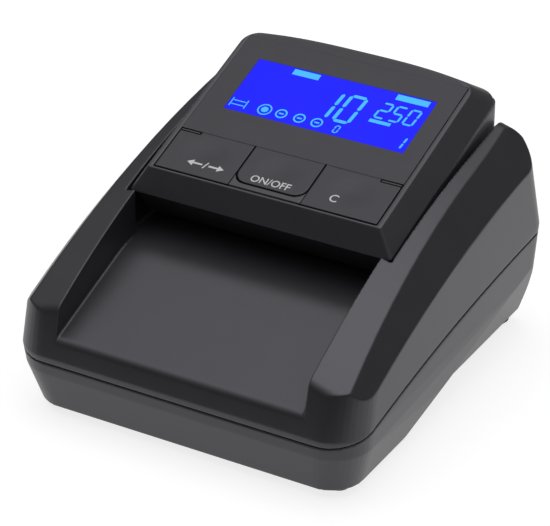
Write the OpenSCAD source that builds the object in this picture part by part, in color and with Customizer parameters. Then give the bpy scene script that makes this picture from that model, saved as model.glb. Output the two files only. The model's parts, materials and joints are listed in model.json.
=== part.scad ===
// Desktop banknote counting machine: a wedge-shaped case with a note tray between two cheeks,
// and a tilting head that carries the display and three flap keys.
// Millimetres. X to the right, Y to the rear, Z up. The origin is on the table under the middle of the case.

/* [Case] */
// Width over the widest line of the case
body_w = 123; // [118:1:130]
// Depth over the front and rear faces
body_d = 134; // [131:1:142]
// Plan radius of the front corners of the case
corner_r = 13; // [10:0.5:15]
// Plan radius of the rear corners of the case
rear_corner_r = 9.5; // [8:0.5:12]
// Wall of the mouldings
wall = 2.2; // [1.8:0.1:2.6]
// Height of the case bottom above the table
foot_h = 3.5; // [2.5:0.5:5]
// Radius of a rubber foot
foot_r = 4.4; // [4:0.1:5]
// Height of the case split at the front face
seam_front_z = 21; // [19:0.5:23]
// Height of the case split at the rear face
seam_rear_z = 37.5; // [35:0.5:38.5]
// How far the case split rises above a straight line, half way back
seam_bow = 3.6; // [3:0.1:4.5]
// Height of the fold in the lower case at the front
fold_front_z = 17.3; // [14:0.1:18]
// Height of the fold in the lower case at the rear
fold_rear_z = 24; // [20:0.5:28]
// How far the lower case draws in at the front and sides of its bottom
base_inset = 4.5; // [3:0.5:5]
// How far it draws in at the rear of its bottom
rear_inset = 1.5; // [1:0.5:4]
// Depth of the undercut along the rear half of each bottom edge
undercut = 4.1; // [3:0.1:5]
// Lean of the front face from the vertical
front_lean = 15; // [11:1:18]
// Lean of the rear face from the vertical
rear_lean = 13; // [9:1:16]
// Draft of the side faces
side_draft = 1.5; // [0.5:0.5:3]

/* [Cheeks] */
// Width of each cheek beside the head, at the widest line of the case
cheek_w = 13.9; // [13.5:0.1:16]
// Height of the cheeks' inner top edge at the front
cheek_front_z = 43; // [41:0.5:45]
// Radius of the long arc along the top of the cheeks
cheek_arc_r = 280; // [260:5:320]
// Slope of that arc at its front end
cheek_front_slope = 28; // [26:0.5:30]
// Slope of that arc at its rear end
cheek_rear_slope = 9; // [8:0.5:11]
// How steeply the cheek tops fall outwards
cheek_tilt = 15; // [10:1:18]
// Height of the lower edge of the side chamfer at its front end
chamfer_front_z = 35.5; // [33:0.1:38]
// Height of the lower edge of the side chamfer at its rear end
chamfer_rear_z = 62.5; // [58:0.1:65]
// Angle of the side chamfer from the vertical
chamfer_angle = 38; // [34:0.5:42]
// Radius of the shallow arc that the side chamfer follows
chamfer_arc_r = 550; // [500:10:700]

/* [Note path] */
// How much narrower the tray is than the space for the head, on each side
tray_step = 3.6; // [3:0.1:5]
// Height of the tray's front lip
lip_z = 30.2; // [28:0.2:32]
// Slope of the tray floor
tray_slope = 20; // [17:0.5:22]
// Height of the level bed under the head
bed_z = 45; // [44:0.25:46.5]
// Height of the slot between the bed and the head
note_gap = 1.6; // [1.2:0.1:2.2]

/* [Head] */
// Tilt of the face that carries the display
face_tilt = 18.7; // [17:0.1:20]
// Distance of the front end of the keys from the rear of the case
face_back = 79.9; // [78:0.1:81]
// Height of the front end of the keys
face_front_z = 68.7; // [67:0.1:71]
// Length of the face behind the front end of the keys
face_l = 66.5; // [65:0.5:68]
// Depth of the head cover, square to the face
cover_h = 7.6; // [7:0.1:9]
// Width of the chamfer round the head cover
cover_chamfer = 5.3; // [4.5:0.1:6]
// Radius of the hinge pins
hinge_r = 2.5; // [2:0.1:3]
// Height of the hinge axis
hinge_z = 64; // [62:0.5:67]
// Distance of the hinge axis from the rear of the case
hinge_back = 19; // [18:0.5:21]

/* [Face] */
// Width of the head's rim beside the face panel
rim_w = 7.1; // [6.5:0.1:8]
// Width of the head's rim behind the face panel
rear_rim = 2.5; // [2:0.1:4]
// Thickness of the face panel and the keys
panel_t = 2; // [1.6:0.1:2.2]
// Width of the panel beside the display window
window_side = 7.55; // [7.3:0.05:10]
// Length of the display window
window_l = 24.3; // [20:0.1:25.5]
// Distance from the front end of the keys to the display window
window_s = 30.5; // [28:0.1:32]
// Distance of the display window's middle to the right of the machine's middle
window_x = 1; // [-1:0.1:1]
// Length of a key from its free edge to its fold
key_l = 18.2; // [16:0.1:20]
// Width of the centre key
centre_key_w = 25.4; // [22:0.1:28]
// Corner radius of the centre key
centre_key_r = 4.2; // [2:0.1:5]
// Width of the strip in front of the centre key
strip_l = 2; // [1.5:0.1:3]
// Width of the slots round the keys
key_gap = 0.5; // [0.3:0.05:0.7]

/* [Drive] */
// Radius of the rubber feed rollers
feed_r = 9; // [8:0.25:9.5]
// Radius of the pinch rollers in the head
pinch_r = 6; // [5:0.25:6.5]
// How far the feed rollers stand above the bed
feed_rise = 0.6; // [0.3:0.1:0.9]
// Width of every roller
roller_w = 10; // [6:0.5:12]
// Distance of the inner rollers from the middle
roller_inner_x = 12; // [9:0.5:13]
// Distance of the outer rollers from the sides of the tray
outer_roller_in = 12; // [11:0.5:16]
// Radius of the feed shafts
shaft_r = 2.5; // [2:0.1:3]
// Distance of the front feed shaft from the rear of the case
feed_back = 59.5; // [58.5:0.5:60.5]
// Module of the gears
gear_module = 1; // [0.98:0.01:1.02]
// Teeth on each feed shaft gear
shaft_teeth = 20; // [20:2:22]
// Teeth on the idler gear
idler_teeth = 12; // [12:2:14]
// Teeth on the motor pinion
pinion_teeth = 18; // [18:1:20]
// Face width of the gears
gear_w = 4; // [3:0.5:4.5]
// Radius of the motor
motor_r = 9; // [8.5:0.25:9.5]
// Length of the motor
motor_l = 30; // [24:1:36]

/* [Boards] */
// Thickness of the circuit boards
board_t = 1.6; // [1:0.2:2]
// Distance of the main board from the sides of the case
board_side = 19.5; // [18.5:0.5:24]
// Distance of the main board from the front of the case
board_front = 13; // [12:0.5:18]

/* [Fits] */
// Running clearance of a pin or shaft in its hole
run_gap = 0.05; // [0.03:0.01:0.09]
// Clearance of a fixed piece in its seat
seat_gap = 0.1; // [0.05:0.05:0.2]
// Gap between the head and the cheeks
side_gap = 0.6; // [0.4:0.1:1]
// Radius of the case and head screws
screw_r = 1.5; // [1.2:0.1:1.6]

/* [Hidden] */
$fn = 48;
charcoal = [0.29, 0.29, 0.31];
side_grey = [0.41, 0.41, 0.44];
dark = [0.15, 0.15, 0.16];
steel = [0.72, 0.73, 0.75];
nylon = [0.93, 0.92, 0.88];
board_green = [0.05, 0.32, 0.18];

half_w = body_w / 2;
front_y = -body_d / 2;
rear_y = body_d / 2;
recess_half = half_w - cheek_w;
head_half = recess_half - side_gap;
tray_half = recess_half - tray_step;
panel_half = head_half - rim_w;
panel_w = panel_half * 2;
panel_l = face_l - rear_rim;
window_w = panel_w - window_side * 2;
face_front_y = rear_y - face_back;
front_shaft_y = rear_y - feed_back;
roller_outer_x = tray_half - outer_roller_in;
far = 300;

// Case levels: the widest line lies a little above the split
belt_rise = 2.5;
fold_inset = 0.6;
block_top_z = 84;
base_r_less = 2;
top_r_less = 3;
rear_base_r_less = 4;
rear_r_more = 1.5;
seam_steps = 24;
undercut_start_y = rear_y - 92;
undercut_full_y = rear_y - 58;
undercut_lean = 20;
undercut_lead_lean = 32;
belt_front_z = seam_front_z + belt_rise;
belt_rear_z = seam_rear_z + belt_rise;
level_t = 0.01;
groove_h = 0.3;
groove_depth = 0.8;

// Cheek top: one long arc, run out straight to the front and rear faces
cheek_start_y = front_y + 8;
cheek_front_r = 4.6;
cheek_rear_r = 7;
cheek_run = 30;
chamfer_reach = 20;
arc_steps = 14;
bed_corner_r = 30;
lip_r = 3.2;
exit_y = rear_y - 15;
exit_slope = 12;

// Head
slot_top_z = bed_z + note_gap;
hinge_y = rear_y - hinge_back;
cover_front_s = -1.2;
cover_foot_rear = 6;
cover_front_r = 1;
cover_rear_r = 6;
cover_foot_r = 8;
cover_bow = 2.1;
bow_steps = 12;
shell_half = head_half - 0.4;
shell_front_inset = 0.6;
shell_rear_inset = 2.2;
cover_hollow_rear = face_l + cover_foot_rear - shell_rear_inset - wall / 2;
throat_y = rear_y - 72;
shell_rear_y = hinge_y + 9;
shell_heel = [5.5, 7];
shell_rear_r = 4;
recess_front_gap = 1;
pad_w = 2.4;
pad_l = 5;
hinge_boss_r = hinge_r + 2.5;
hinge_boss_l = 5;
hinge_pin_in = 4;

// Screws
screw_head_r = screw_r * 1.85;
screw_head_h = 2;
seat_below_seam = 8;
case_screw_grip = 5;
case_screw_l = seat_below_seam + case_screw_grip;
case_boss_r = screw_head_r + 1.6;
front_screw_place = [half_w - 13, front_y + 24];
rear_screw_place = [half_w - 24, rear_y - 10];
front_foot_place = [half_w - 12.5, front_y + 14.8];
rear_foot_place = [half_w - 14.5, rear_y - 6.7];
boss_above_seam = 10;
head_screw_seat = 4;
head_screw_grip = 3;
head_screw_l = head_screw_seat + head_screw_grip;
head_screw_s = 19.5;
head_boss_r = screw_head_r + 0.9;
small_screw_r = 1;
small_head_r = 1.9;
small_head_h = 1.3;

// Drive train
roll_pitch = gear_module * (shaft_teeth + idler_teeth);
rear_shaft_y = front_shaft_y + roll_pitch;
idler_y = (front_shaft_y + rear_shaft_y) / 2;
shaft_z = bed_z + feed_rise - feed_r;
pinch_lift = 0.3;
pinch_z = bed_z + feed_rise + pinch_lift + pinch_r;
pinch_shaft_r = 1.5;
pinch_rib_x = tray_half - 3;
pinch_rib_t = 2;
pinion_dir = 180 + 53;
pinion_reach = gear_module * (shaft_teeth + pinion_teeth) / 2;
motor_y = front_shaft_y + pinion_reach * cos(pinion_dir);
motor_z = shaft_z + pinion_reach * sin(pinion_dir);
frame_t = 2;
frame_x = recess_half - frame_t;
frame_top_z = bed_z - wall - 0.8;
frame_base_z = 14;
frame_base_t = 2.5;
frame_base_y = front_shaft_y + 9;
frame_front_y = motor_y - motor_r - 1;
frame_rear_y = rear_shaft_y + 8;
frame_post_r = 3.5;
frame_post_x = frame_x - 7.6;
gear_x = recess_half + wall + 1;
shaft_end_x = gear_x + gear_w + 0.8;
bushing_r = shaft_r + 1.6;
flange_r = bushing_r + 1.2;
flange_t = 1;
encoder_x = -(recess_half + wall + 2);
encoder_t = 0.8;
encoder_r = 9;
encoder_slots = 16;
motor_shaft_r = 1.5;
motor_shaft_in = 6;
motor_boss_r = 3.5;
motor_boss_l = frame_t + 0.6;
idler_pin_r = 2;
slot_side = 1;
backlash = 0.12;

// Sensing
sensor_y = idler_y;
sensor_l = 10;
sensor_w = tray_half * 2 - 12;
sensor_t = 1.2;
sensor_drop = 3.2;
sensor_board_l = 12;
sensor_post_x = sensor_w / 2 + 3.2;
sensor_post_r = 2.2;
mag_w = 12;
mag_l = 7;

// Face stack, counted down from the face
window_t = 1;
display_t = 4;
display_board_n = 8.4;
display_board_w = panel_w - 4.8;
display_board_s = 3;
display_post_x = panel_half - 4.2;
display_post_r = 2;
ledge_w = 1.4;
ledge_t = 1.3;
strip_web = 1.4;
horn_tip = 0.2;
fold_line = 0.14;
slit_w = 1.3;
slit_l = 7.4;
slit_depth = 0.8;
key_post_r = 2;
press_gap = 0.6;
switch_s = 7;
switch_w = 6;
switch_h = 3.6;

// Main board and power inlet
main_board_z = 9.5;
main_board_w = body_w - board_side * 2;
main_board_front_y = front_y + board_front;
main_board_rear_y = frame_front_y - 4;
main_board_l = main_board_rear_y - main_board_front_y;
main_board_y = (main_board_front_y + main_board_rear_y) / 2;
main_post_r = 2.6;
main_post_inset = 4;
jack_x = -18;
jack_w = 9;
jack_h = 10;
jack_l = 13;
jack_r = 3.1;
jack_pin_r = 1;
jack_sunk = 0.4;
jack_depth = 9.5;
jack_pin_sunk = 1;

// Plane geometry
function unit(v) = v / norm(v);
function heading(a) = [cos(a), sin(a)];
function line_hit(p, d, q, e) =
    let(cross = d[0] * e[1] - d[1] * e[0], gap = q - p)
    p + d * (gap[0] * e[1] - gap[1] * e[0]) / cross;
function arc_points(centre, r, from, to, steps) =
    [for (i = [0 : steps]) centre + r * heading(from + (to - from) * i / steps)];
function corner_arc(before, corner, after, r, steps = 8) =
    let(u = unit(before - corner),
        v = unit(after - corner),
        half = acos(u * v) / 2,
        centre = corner + unit(u + v) * r / sin(half),
        first = corner + u * r / tan(half) - centre,
        last = corner + v * r / tan(half) - centre,
        from = atan2(first[1], first[0]),
        turn = (atan2(last[1], last[0]) - from + 540) % 360 - 180)
    arc_points(centre, r, from, from + turn, steps);

// Case lines
function seam_z(y) =
    seam_front_z + (seam_rear_z - seam_front_z) * (y - front_y) / body_d + seam_bow * (1 - pow(y / rear_y, 2));
function fold_z(y) = fold_front_z + (fold_rear_z - fold_front_z) * (y - front_y) / body_d;
function rear_face_y(z) = rear_y - fold_inset * (belt_rear_z - z) / (belt_rear_z - fold_rear_z);
front_line = [sin(front_lean), cos(front_lean)];
rear_line = [-sin(rear_lean), cos(rear_lean)];
front_foot = [front_y, belt_front_z];
rear_foot = [rear_y, belt_rear_z];

cheek_start = [cheek_start_y, cheek_front_z];
cheek_arc_c = cheek_start - cheek_arc_r * heading(90 + cheek_front_slope);
cheek_arc = arc_points(cheek_arc_c, cheek_arc_r, 90 + cheek_front_slope, 90 + cheek_rear_slope, arc_steps);
cheek_end = cheek_arc[arc_steps];
cheek_mid = cheek_arc[arc_steps / 2];
cheek_front_corner = line_hit(front_foot, front_line, cheek_start, heading(cheek_front_slope));
cheek_rear_corner = line_hit(rear_foot, rear_line, cheek_end, heading(cheek_rear_slope));

tray_lip = line_hit(front_foot, front_line, [front_y, lip_z], [1, 0]);
bed_corner = line_hit(tray_lip, heading(tray_slope), [0, bed_z], [1, 0]);
exit_corner = [exit_y, bed_z];

// A shape drawn in the side view (Y, Z), extruded across the machine
module across(w) {
    rotate([90, 0, 90]) linear_extrude(w, center = true) children();
}

// A shape drawn in the side view, starting at x and running to the right
module across_from(x, w) {
    translate([x, 0, 0]) rotate([90, 0, 90]) linear_extrude(w) children();
}

// A round bar along X
module bar(x, y, z, r, l) {
    translate([x, y, z]) rotate([0, 90, 0]) cylinder(r = r, h = l);
}

// The face's own frame: X across, Y up the face from the keys' front end, Z out of the face
module on_face() {
    translate([0, face_front_y, face_front_z]) rotate([face_tilt, 0, 0]) children();
}

// A point of the face frame in the side view
function face_point(s, n) =
    [face_front_y, face_front_z] + s * heading(face_tilt) + n * heading(face_tilt + 90);

module both_sides() {
    children();
    mirror([1, 0, 0]) children();
}

// Outside of the whole case, drawn in by t on every side
module case_block(t) {
    lean_run = tan(front_lean) * (block_top_z - belt_front_z);
    rear_run = tan(rear_lean) * (block_top_z - belt_rear_z);
    draft_run = tan(side_draft) * (block_top_z - belt_front_z);
    // Each level: front and rear height, half width, front and rear end, how much tighter those corners are
    levels = [
        [foot_h + t, foot_h + t, half_w - base_inset, front_y + base_inset, rear_y - rear_inset, base_r_less,
         rear_base_r_less],
        [fold_front_z, fold_rear_z, half_w - fold_inset, front_y + fold_inset, rear_y - fold_inset, 0,
         -rear_r_more],
        [belt_front_z, belt_rear_z, half_w, front_y, rear_y, 0, 0],
        [block_top_z, block_top_z, half_w - draft_run, front_y + lean_run, rear_y - rear_run, top_r_less,
         -rear_r_more]];
    difference() {
        hull() for (level = levels, side = [-1, 1]) {
            front_r = corner_r - level[5] - t;
            rear_r = rear_corner_r - level[6] - t;
            translate([side * (level[2] - t - front_r), level[3] + t + front_r, level[0]])
                cylinder(r = front_r, h = level_t, $fn = 40);
            translate([side * (level[2] - t - rear_r), level[4] - t - rear_r, level[1]])
                cylinder(r = rear_r, h = level_t, $fn = 40);
        }
        both_sides() side_undercut(t);
    }
}

// Space under the rear half of the right bottom edge, with a sloped lead-in, moved in by t
module side_undercut(t) {
    edge_x = half_w - base_inset;
    turn = atan(undercut / (undercut_full_y - undercut_start_y));
    intersection() {
        translate([edge_x - undercut, 0, foot_h]) rotate([0, undercut_lean, 0]) outer_space(t);
        translate([edge_x, undercut_start_y, foot_h]) rotate([0, undercut_lead_lean, turn]) outer_space(t);
    }
}

// Everything to the right of x = -t
module outer_space(t) {
    translate([-t, -far, -far]) cube([far, far * 2, far * 2]);
}

// Everything under the split, moved up by lift
module below_seam(lift) {
    y0 = front_y - 20;
    y1 = rear_y + 20;
    top = [for (i = [seam_steps : -1 : 0]) let(y = y0 + (y1 - y0) * i / seam_steps) [y, seam_z(y) + lift]];
    across(far) polygon(concat([[y0, -1], [y1, -1]], top));
}

// Everything above the right cheek's top, moved down by drop
module above_cheek(drop) {
    front_arc = corner_arc(cheek_front_corner - front_line * cheek_run, cheek_front_corner, cheek_start,
                           cheek_front_r);
    rear_arc = corner_arc(cheek_end, cheek_rear_corner, cheek_rear_corner - rear_line * cheek_run,
                          cheek_rear_r, 12);
    top = concat(front_arc, cheek_arc, rear_arc);
    outline = concat([[front_y - 60, top[0][1]]], top,
                     [[rear_y + 60, top[len(top) - 1][1]], [rear_y + 60, far], [front_y - 60, far]]);
    pivot = [tray_half, cheek_mid[0], cheek_mid[1] - drop];
    translate(pivot) rotate(cheek_tilt, v = [0, cos(front_lean), -sin(front_lean)]) translate(-pivot)
        translate([0, 0, -drop]) across(far) polygon(outline);
}

// Everything outside the right cheek's chamfer, a shallow arc from end to end, moved in by t
module outside_chamfer(t) {
    run = body_d - corner_r * 2;
    slope = atan((chamfer_rear_z - chamfer_front_z) / run);
    half_chord = run / cos(slope) / 2;
    centre = [-sqrt(pow(chamfer_arc_r, 2) - pow(half_chord, 2)), half_chord];
    turn = asin((half_chord + chamfer_reach) / chamfer_arc_r);
    arc = arc_points(centre, chamfer_arc_r, -turn, turn, arc_steps);
    translate([half_w - 0.5, front_y + corner_r, chamfer_front_z])
        rotate([slope, 0, 0]) rotate([0, -chamfer_angle, 0]) translate([-t, 0, 0])
            linear_extrude(far, center = true)
                polygon(concat(arc, [[far, arc[arc_steps][1]], [far, arc[0][1]]]));
}

// Space over the tray and bed, grown by t into the moulding
module note_space(t) {
    lip_arc = corner_arc(tray_lip - front_line * 10, tray_lip, bed_corner, lip_r);
    bed_arc = corner_arc(tray_lip, bed_corner, exit_corner, bed_corner_r);
    exit_end = exit_corner + heading(-exit_slope) * 60;
    outline = concat([[front_y - 30, lip_arc[0][1]]], lip_arc, bed_arc,
                     [exit_corner, exit_end, [exit_end[0], far], [front_y - 30, far]]);
    recess_y = head_front_y() - recess_front_gap - t;
    translate([0, 0, -t]) {
        across((tray_half + t) * 2) polygon(outline);
        intersection() {
            across((recess_half + t) * 2) polygon(outline);
            translate([-far, recess_y, 0]) cube([far * 2, far, far]);
        }
    }
}

// Foremost point of the head at the foot of its cover
function head_front_y() = face_point(cover_front_s - cover_chamfer, -cover_h)[0];

module case_screw_places() {
    for (side = [-1, 1], place = [front_screw_place, rear_screw_place])
        translate([side * place[0], place[1], seam_z(place[1])]) children();
}

module foot_places() {
    for (side = [-1, 1], place = [front_foot_place, rear_foot_place])
        translate([side * place[0], place[1], 0]) children();
}

module main_board_places() {
    for (side = [-1, 1], end = [-1, 1])
        translate([side * (main_board_w / 2 - main_post_inset),
                   main_board_y + end * (main_board_l / 2 - main_post_inset), main_board_z]) children();
}

module frame_places() {
    for (side = [-1, 1], y = [frame_base_y + 4, frame_rear_y - 5])
        translate([side * frame_post_x, y, frame_base_z]) children();
}

module lower_case() {
    color(charcoal) difference() {
        union() {
            difference() {
                intersection() {
                    case_block(0);
                    below_seam(0);
                }
                case_block(wall);
            }
            intersection() {
                union() {
                    case_screw_places() translate([0, 0, -far]) cylinder(r = case_boss_r, h = far);
                    main_board_places() translate([0, 0, foot_h - main_board_z + 0.5])
                        cylinder(r = main_post_r, h = main_board_z - foot_h - 0.5);
                    frame_places() translate([0, 0, foot_h - frame_base_z + 0.5])
                        cylinder(r = frame_post_r, h = frame_base_z - foot_h - 0.5);
                }
                case_block(0.5);
                below_seam(0);
            }
        }
        case_screw_places() {
            translate([0, 0, -far - seat_below_seam]) cylinder(r = screw_head_r + 0.4, h = far);
            translate([0, 0, -seat_below_seam - 1]) cylinder(r = screw_r + 0.2, h = far);
        }
        main_board_places() translate([0, 0, -3]) cylinder(r = small_screw_r + run_gap, h = 4);
        frame_places() translate([0, 0, -4]) cylinder(r = small_screw_r + run_gap, h = 5);
        foot_places() translate([0, 0, foot_h - 1]) cylinder(r = foot_r - 2 + seat_gap, h = 2);
        power_inlet_space();
    }
}

module power_inlet_space() {
    translate([jack_x - jack_w / 2 - seat_gap, rear_y - 20, jack_z() - jack_h / 2 - seat_gap])
        cube([jack_w + seat_gap * 2, 40, jack_h + seat_gap * 2]);
}

// The inlet sits midway between the fold and the split
function jack_z() = (fold_rear_z + seam_rear_z) / 2 - 0.5;

module rubber_feet() {
    color(dark) foot_places() {
        rotate_extrude() polygon([[0, 0], [foot_r - 0.8, 0], [foot_r, 0.8], [foot_r, foot_h], [0, foot_h]]);
        translate([0, 0, foot_h - 0.1]) cylinder(r = foot_r - 2, h = 1.1);
    }
}

module upper_case() {
    color(side_grey) difference() {
        union() {
            difference() {
                intersection() {
                    difference() {
                        case_block(0);
                        below_seam(0);
                    }
                    cheek_limits(0);
                }
                note_space(0);
                difference() {
                    intersection() {
                        case_block(wall);
                        cheek_limits(wall);
                    }
                    note_space(wall);
                }
            }
            upper_case_posts();
            head_pads();
        }
        seam_groove();
        case_screw_places() translate([0, 0, -1])
            cylinder(r = screw_r + run_gap, h = case_screw_grip + 1.4);
        both_sides() bar(recess_half - 1, hinge_y, hinge_z, hinge_r + run_gap, hinge_boss_l + 1);
        roller_slots(bed_z - wall - 1, wall + 2, feed_r, shaft_z);
        bed_window_space();
        sensor_places() translate([0, 0, bed_z - wall - sensor_drop - 1])
            cylinder(r = small_screw_r + run_gap, h = sensor_drop + 1);
    }
}

// Space under the cheek tops and inside their chamfers
module cheek_limits(t) {
    difference() {
        translate([-far / 2, -far / 2, 0]) cube([far, far, far / 2]);
        both_sides() {
            above_cheek(t);
            outside_chamfer(t);
        }
    }
}

// Posts inside the upper case, trimmed to its outside
module upper_case_posts() {
    difference() {
        intersection() {
            union() {
                case_screw_places() cylinder(r = case_boss_r, h = boss_above_seam);
                both_sides() bar(recess_half, hinge_y, hinge_z, hinge_boss_r, hinge_boss_l);
                sensor_places() translate([0, 0, bed_z - wall - sensor_drop])
                    cylinder(r = sensor_post_r, h = sensor_drop + 0.5);
            }
            case_block(0.5);
            cheek_limits(0.5);
        }
        below_seam(0);
        note_space(0);
    }
}

// Pads at the sides of the bed that the closed head rests on
module head_pads() {
    both_sides() translate([recess_half - pad_w, throat_y + 5, bed_z - 0.5])
        cube([pad_w + 0.5, pad_l, note_gap + 0.5]);
}

// Shadow line cut round the foot of the upper case
module seam_groove() {
    difference() {
        below_seam(groove_h);
        case_block(groove_depth);
    }
}

// Slots that a row of rollers comes through
module roller_slots(z, h, r, axis_z) {
    reach = sqrt(pow(r, 2) - pow(min(abs(z + h / 2 - axis_z), r) * 0.6, 2)) + slot_side;
    for (x = roller_places(), y = [front_shaft_y, rear_shaft_y])
        translate([x - roller_w / 2 - slot_side, y - reach, z]) cube([roller_w + slot_side * 2, reach * 2, h]);
}

function roller_places() = [-roller_outer_x, -roller_inner_x, roller_inner_x, roller_outer_x];

module sensor_places() {
    for (side = [-1, 1]) translate([side * sensor_post_x, sensor_y, 0]) children();
}

module bed_window_space() {
    translate([-sensor_w / 2 - seat_gap, sensor_y - sensor_l / 2 - seat_gap, bed_z - sensor_t])
        cube([sensor_w + seat_gap * 2, sensor_l + seat_gap * 2, sensor_t + 1]);
    translate([-sensor_w / 2 + 1.5, sensor_y - sensor_l / 2 + 1.5, bed_z - wall - 1])
        cube([sensor_w - 3, sensor_l - 3, wall + 2]);
}

// A screw whose head rests on z = 0 with its shank upwards
module screw(r, l, head_r, head_h) {
    difference() {
        translate([0, 0, -head_h]) cylinder(r = head_r, h = head_h);
        for (a = [0, 90]) rotate(a) translate([-head_r * 0.6, -0.3, -head_h - 1]) cube([head_r * 1.2, 0.6, 1.7]);
    }
    cylinder(r = r, h = l);
}

module case_screws() {
    color(steel) case_screw_places() translate([0, 0, -seat_below_seam])
        screw(screw_r, case_screw_l, screw_head_r, screw_head_h);
}

module main_board() {
    color(board_green) difference() {
        translate([-main_board_w / 2, main_board_y - main_board_l / 2, main_board_z])
            cube([main_board_w, main_board_l, board_t]);
        main_board_places() translate([0, 0, -1]) cylinder(r = small_screw_r + 0.2, h = board_t + 2);
    }
}

module board_parts() {
    processor = [18, 18, 1.8];
    motor_driver = [10, 7, 1.6];
    small_chip = [2.2, 3.4, 1];
    socket = [12, 5, 6];
    capacitor_r = 2.6;
    capacitor_h = 7;
    translate([0, main_board_y, main_board_z + board_t]) {
        color(dark) {
            translate([-9, -9, 0]) cube(processor);
            translate([-30, 2, 0]) cube(motor_driver);
            for (x = [18, 25, 32]) translate([x, main_board_l / 2 - 9, 0])
                cylinder(r = capacitor_r, h = capacitor_h);
            for (x = [-28 : 3.5 : -17]) translate([x, -8, 0]) cube(small_chip);
        }
        color(nylon) for (x = [-16, 3]) translate([x, main_board_l / 2 - 7, 0]) cube(socket);
    }
}

module board_screws() {
    color(steel) main_board_places() translate([0, 0, board_t]) mirror([0, 0, 1])
        screw(small_screw_r, board_t + 2.5, small_head_r, small_head_h);
}

module buzzer() {
    color(dark) translate([main_board_w / 2 - 12, main_board_y - 5, main_board_z + board_t]) difference() {
        cylinder(r = 5.5, h = 6);
        translate([0, 0, 5]) cylinder(r = 1, h = 2);
    }
}

module power_inlet() {
    y = rear_face_y(jack_z()) - jack_sunk;
    color(dark) difference() {
        translate([jack_x - jack_w / 2, y - jack_l, jack_z() - jack_h / 2]) cube([jack_w, jack_l, jack_h]);
        translate([jack_x, y + 1, jack_z()]) rotate([90, 0, 0]) difference() {
            cylinder(r = jack_r, h = jack_depth + 1);
            translate([0, 0, jack_pin_sunk + 1]) cylinder(r = jack_pin_r, h = jack_depth);
        }
    }
}

module feed_frame() {
    plate = [[frame_front_y, motor_z - motor_r], [frame_base_y, frame_base_z], [frame_rear_y, frame_base_z],
             [frame_rear_y, frame_top_z], [front_shaft_y - 8, frame_top_z], [frame_front_y, motor_z + motor_r]];
    color(steel) difference() {
        union() {
            across_from(frame_x, frame_t) polygon(plate);
            across_from(-frame_x - frame_t, frame_t) polygon(plate);
            translate([-frame_x - 1, frame_base_y, frame_base_z])
                cube([frame_x * 2 + 2, frame_rear_y - frame_base_y, frame_base_t]);
        }
        for (y = [front_shaft_y, rear_shaft_y])
            bar(-frame_x - frame_t - 1, y, shaft_z, bushing_r + run_gap, (frame_x + frame_t) * 2 + 2);
        bar(frame_x - 1, motor_y, motor_z, motor_boss_r + seat_gap, frame_t + 2);
        bar(frame_x - 1, idler_y, shaft_z, idler_pin_r + run_gap, frame_t + 2);
        motor_screw_places() bar(-1, 0, 0, small_screw_r + 0.2, frame_t + 2);
        frame_places() translate([0, 0, -1]) cylinder(r = small_screw_r + 0.2, h = frame_base_t + 2);
    }
}

module frame_screws() {
    color(steel) frame_places() translate([0, 0, frame_base_t]) mirror([0, 0, 1])
        screw(small_screw_r, frame_base_t + 3.5, small_head_r, small_head_h);
}

module shaft_bushings() {
    color(nylon) both_sides() for (y = [front_shaft_y, rear_shaft_y]) difference() {
        union() {
            bar(frame_x, y, shaft_z, bushing_r, frame_t);
            bar(frame_x - flange_t, y, shaft_z, flange_r, flange_t);
        }
        bar(frame_x - 5, y, shaft_z, shaft_r + run_gap, 10);
    }
}

module motor_screw_places() {
    for (a = [-1, 1]) translate([frame_x, motor_y, motor_z + a * (motor_boss_r + 3.4)]) children();
}

module drive_motor() {
    color(steel) difference() {
        union() {
            bar(frame_x - motor_l, motor_y, motor_z, motor_r, motor_l);
            bar(frame_x - motor_l - 2, motor_y, motor_z, motor_r * 0.45, 2.5);
            bar(frame_x - 0.5, motor_y, motor_z, motor_boss_r, motor_boss_l + 0.5);
        }
        bar(frame_x - motor_shaft_in, motor_y, motor_z, motor_shaft_r + run_gap, far);
        motor_screw_places() bar(-3, 0, 0, small_screw_r + run_gap, 4);
    }
}

module motor_screws() {
    color(steel) motor_screw_places() translate([frame_t, 0, 0]) rotate([0, -90, 0])
        screw(small_screw_r, frame_t + 2, small_head_r, small_head_h);
}

// Involute gear standing on x = 0, its first tooth at angle phase
module spur_gear(teeth, phase, bore_r) {
    pitch_r = gear_module * teeth / 2;
    base_r = pitch_r * cos(20);
    root_r = pitch_r - 1.1 * gear_module;
    tip_r = pitch_r + 0.8 * gear_module;
    function involute(a) = tan(a) * 180 / PI - a;
    function half_tooth(r) = 90 / teeth - backlash / pitch_r * 180 / PI
        + involute(20) - involute(r > base_r ? acos(base_r / r) : 0);
    radii = [root_r, max(base_r, root_r + 0.05), pitch_r, (pitch_r + tip_r) / 2, tip_r];
    flank = [for (r = radii) [r, half_tooth(r)]];
    outline = [for (i = [0 : teeth - 1]) let(a = phase + i * 360 / teeth) each concat(
        [for (p = flank) p[0] * heading(a - p[1])],
        [for (i = [len(flank) - 1 : -1 : 0]) flank[i][0] * heading(a + flank[i][1])])];
    difference() {
        across_from(0, gear_w) polygon(outline);
        bar(-1, 0, 0, bore_r, gear_w + 2);
    }
}

// Phase that puts a gear in mesh with a neighbour of known phase, seen from the neighbour at angle dir
function mate_phase(dir, phase, teeth, mate_teeth) =
    dir + 180 - (180 - (dir - phase) * teeth) / mate_teeth;

front_phase = mate_phase(180, 0, idler_teeth, shaft_teeth);
rear_phase = mate_phase(0, 0, idler_teeth, shaft_teeth);
pinion_phase = mate_phase(pinion_dir, front_phase, shaft_teeth, pinion_teeth);

module motor_shaft() {
    color(steel) bar(frame_x - motor_shaft_in + 0.5, motor_y, motor_z, motor_shaft_r,
                     gear_x + gear_w + 0.5 - frame_x + motor_shaft_in - 0.5);
}

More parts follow.
